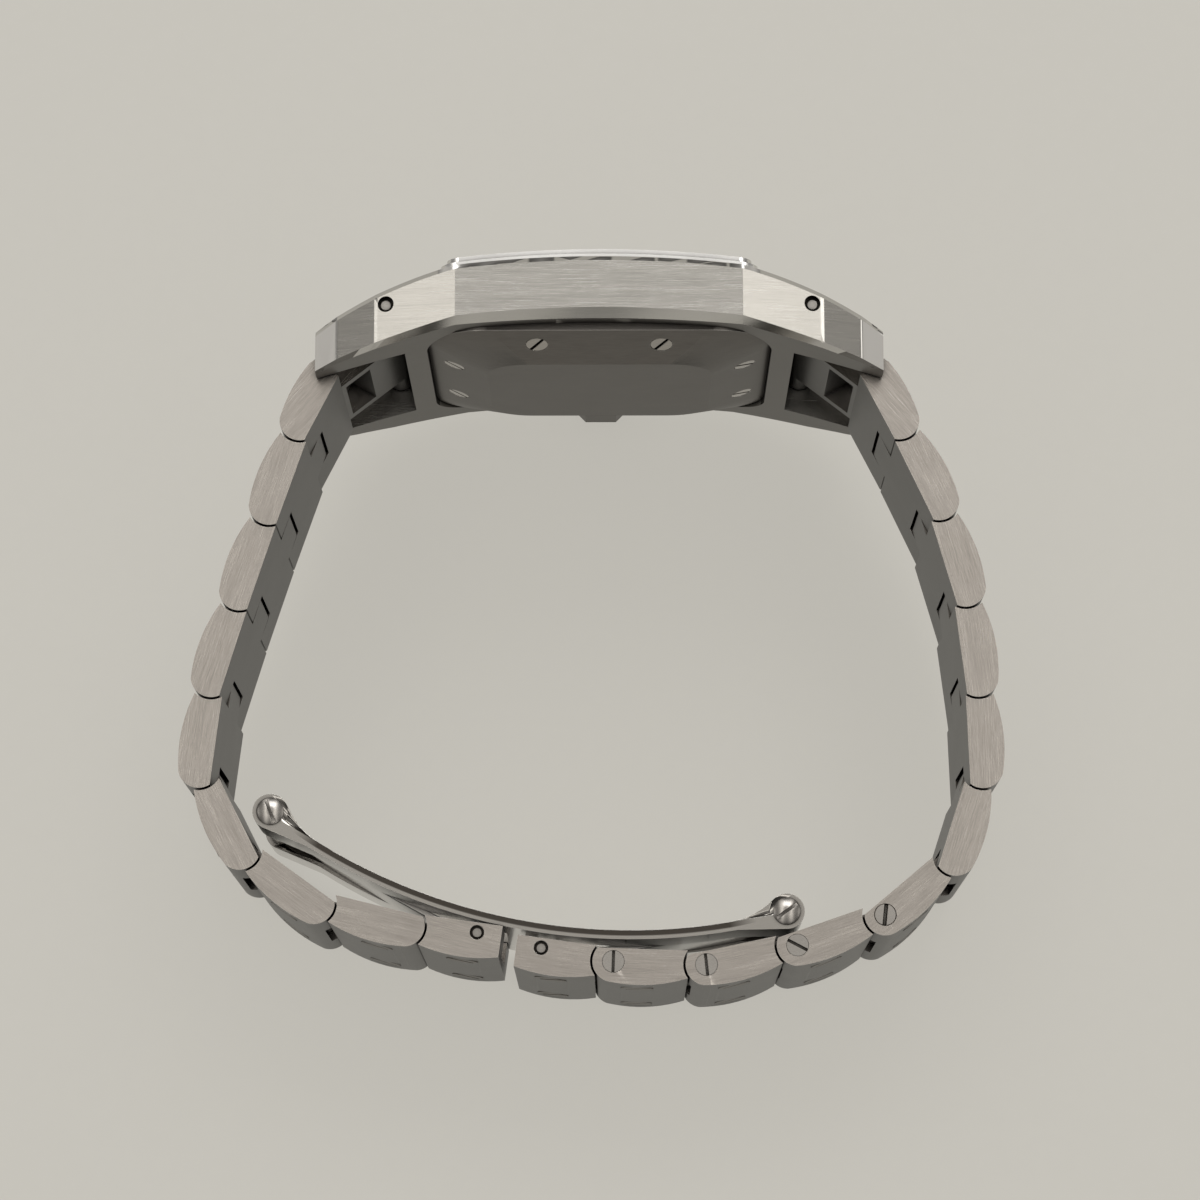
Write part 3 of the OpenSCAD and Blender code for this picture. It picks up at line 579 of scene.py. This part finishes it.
# %% [markdown]
# The dial's hour marks are dark on a pale ground and raised by less than a tenth of a millimetre.
# They could be drawn by a mask in the paint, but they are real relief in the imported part. So every
# face that reaches up to their tops gets the second paint, and the edges come out clean.

# %% The dial, the hands and what lies under them
MARK_HEIGHT = 0.08 * MM


def paint_marks(mesh, ink):
    mesh.materials.append(ink.material)
    height = [v.co.dot(UPRIGHT) for v in mesh.vertices]
    half_up = max(height) - MARK_HEIGHT / 2
    marks = [face for face in mesh.polygons if max(height[v] for v in face.vertices) > half_up]
    for face in marks:
        face.material_index = 1
    print("faces of the dial's marks:", len(marks))


paint_marks(dressed("dial", dial_paint), dial_ink)
dressed("movement", works)
dressed("battery", steel_bright)
dressed("case_back_gasket", rubber)
for name in ("hour_hand", "minute_hand", "seconds_hand"):
    dressed(name, blued)
print("dial finished")

# %% [markdown]
# The folding clasp is polished: a curved blade with two arms. The side of its blade is painted as
# a dark reflection, with painted highlights round the two knuckles and along the lower edge. That
# side is one face, so no rule for faces can split it. Both highlights follow from distances in the
# material: to the knuckles, and to the middle of the circle that the blade is bent on, which lies
# square to the chord between the knuckles.

# %% The blade's side
KNUCKLE_RING, LINE_RING = 42.85 * MM, 43.1 * MM
EYE_RADIUS, EYE_FADE = 2.2 * MM, 500.0
LINE_FADE = 12000.0
# The colours of the blade side's painted dark reflection and painted highlight.
PAINTED_DARK_REFLECTION, PAINTED_HIGHLIGHT = (0.09, 0.08, 0.07, 1), (0.46, 0.44, 0.41, 1)

knuckles = [Vector(joints[name]["pos_m"]) for name in ("clasp_open", "arm_hinge_6")]
blade_half = max(abs((v.co - knuckles[0]).dot(ACROSS))
                 for v in frame["nodes"]["clasp_blade"].data.vertices)
half_chord = (knuckles[1] - knuckles[0]) / 2
to_wrist = ACROSS.cross(half_chord).normalized()
rise = math.sqrt(KNUCKLE_RING ** 2 - half_chord.length_squared)
arc_middle = knuckles[0] + half_chord + to_wrist * rise
blade_side = Finish("blade_side_painted_reflection")
spot = blade_side.node("TexCoord", output=3)


def distance_to(place):
    return blade_side.node("VectorMath", {"operation": "DISTANCE"}, output=1,
                           numbered={0: spot, 1: place + ACROSS * blade_half})


first_eye, second_eye = (distance_to(knuckle) for knuckle in knuckles)
nearest_eye = first_eye.maths("MINIMUM", first_eye, second_eye)
highlight_round_eyes = (1.0 - (nearest_eye - EYE_RADIUS) * EYE_FADE).clipped()
lower_edge_highlight = ((distance_to(arc_middle) - LINE_RING) * LINE_FADE).clipped()
lit = (highlight_round_eyes + lower_edge_highlight).clipped()
# Painted dark reflection on the blade's side, with painted highlights round the knuckles and along
# the lower edge, and painted shade in near gaps.
painted_side_reflection = painted_gap_shade(blade_side, blade_side.blend(lit, PAINTED_DARK_REFLECTION, PAINTED_HIGHLIGHT), 0.3)
blade_side.set(Base_Color=painted_side_reflection, Metallic=1.0,
               Roughness=0.14 + 0.08 * scratches(blade_side, 2.0, 0.06))
print("blade is", round(2 * blade_half / MM, 1), "mm wide")

# %% [markdown]
# The blade's edges are the widest ones on the watch, so they get one step more than the others.
# The arms are thinner, and the hinge screws have domed heads whose rims are painted dark as shade.

# %% The clasp
rounded("clasp_blade", 0.18, [blade_side, steel_clasp, steel_line], segments=3, rule=side_faces)
rounded("clasp_arm_12", 0.1, [steel_clasp, steel_bright])
rounded("clasp_arm_6", 0.1, [steel_clasp, steel_bright])
rounded("clasp_hinge_screws", 0.03, [screw_steel, steel_shade_rim])
print("clasp finished")

# %% [markdown]
# The watch lies on a pale, warm grey ground with a faint speck. A plain painted floor would fade
# with the lamp's distance. This one gets most of its tone by itself, so it stays even from edge to
# edge, as on a table in a photo tent, and only a faint shadow shows on it.

# %% The ground
GROUND_REACH = 3.0
corners = [(-1, -1), (1, -1), (1, 1), (-1, 1)]
ground_mesh = bpy.data.meshes.new("ground")
ground_mesh.from_pydata([(x * GROUND_REACH, y * GROUND_REACH, lowest) for x, y in corners], [],
                        [(0, 1, 2, 3)])
ground = bpy.data.objects.new("ground", ground_mesh)
bpy.context.scene.collection.objects.link(ground)
paper = Finish("pale_ground")
paper_speck = paper.node("TexNoise", Vector=paper.node("TexCoord", output=3), Scale=900.0,
                         Detail=2.0)
paper_tone = paper.node("ValToRGB", {"stops": [(0.3, (0.088, 0.085, 0.078)),
                                               (0.7, (0.092, 0.089, 0.082))]}, Fac=paper_speck)
paper.set(Base_Color=paper_tone, Roughness=0.9, Emission_Color=(0.533, 0.515, 0.467, 1),
          Emission_Strength=0.87)
ground_mesh.materials.append(paper.material)
print("ground at", round(lowest / MM, 2), "mm")

# %% [markdown]
# A wide soft light above and a little behind the case gives the faint shadows on the clasp's
# side. A small lamp would draw hard ones and put a hot spot on every screw.

# %% The soft light
lamp_data = bpy.data.lights.new("soft_box", "AREA")
lamp_data.shape = "RECTANGLE"
lamp_data.size, lamp_data.size_y = 0.5, 0.35
lamp_data.energy = 1.6
lamp = bpy.data.objects.new("soft_box", lamp_data)
lamp.location = (0.05, 0.35, 0.6)
lamp.rotation_euler = (-lamp.location).to_track_quat("-Z", "Y").to_euler()
bpy.context.scene.collection.objects.link(lamp)
print("soft light of", lamp_data.energy, "W at", round(lamp.location.length, 2), "m")

# %% [markdown]
# Steel shows what stands around it. The sky is brighter overhead, and bright boxes stand to the
# left and right, which the bends of the lugs and the upper edges of the links mirror. Real lamps
# could stand there, but a painted sky is smoother and costs no render time. Two ramps are
# multiplied: one over the height of a direction, one over how far it looks sideways.

# %% The sky
SKY_WARMTH = (1, 0.985, 0.96)
OVERHEAD = [(0.0, 0.16), (0.55, 0.5), (0.95, 0.95)]
SIDE_BOXES = [(0.0, 0.6), (0.2, 0.68), (0.3, 2.1), (0.48, 2.1), (0.58, 0.5), (0.85, 0.6),
              (0.93, 2.4)]


def warm(levels):
    return [(place, tuple(level * share for share in SKY_WARMTH)) for place, level in levels]


world = bpy.data.worlds.new("sky")
world.use_nodes = True
bpy.context.scene.world = world
sky = Shader(world.node_tree)
direction = sky.node("TexCoord")
height = sky.node("SeparateXYZ", output=2, Vector=direction)
sideways = sky.node("SeparateXYZ", Vector=direction)
overhead = sky.node("ValToRGB", {"stops": warm(OVERHEAD)}, Fac=height)
boxes = sky.node("ValToRGB", {"stops": warm(SIDE_BOXES)},
                 Fac=sideways.maths("ABSOLUTE", sideways))
light = sky.node("VectorMath", {"operation": "MULTIPLY"}, numbered={0: overhead, 1: boxes})
sky.feed(world.node_tree.nodes["Background"].inputs["Color"], light)
bpy.context.scene.view_settings.view_transform = "Standard"
print("sky ramps:", len(OVERHEAD), "stops over height and", len(SIDE_BOXES), "stops sideways")
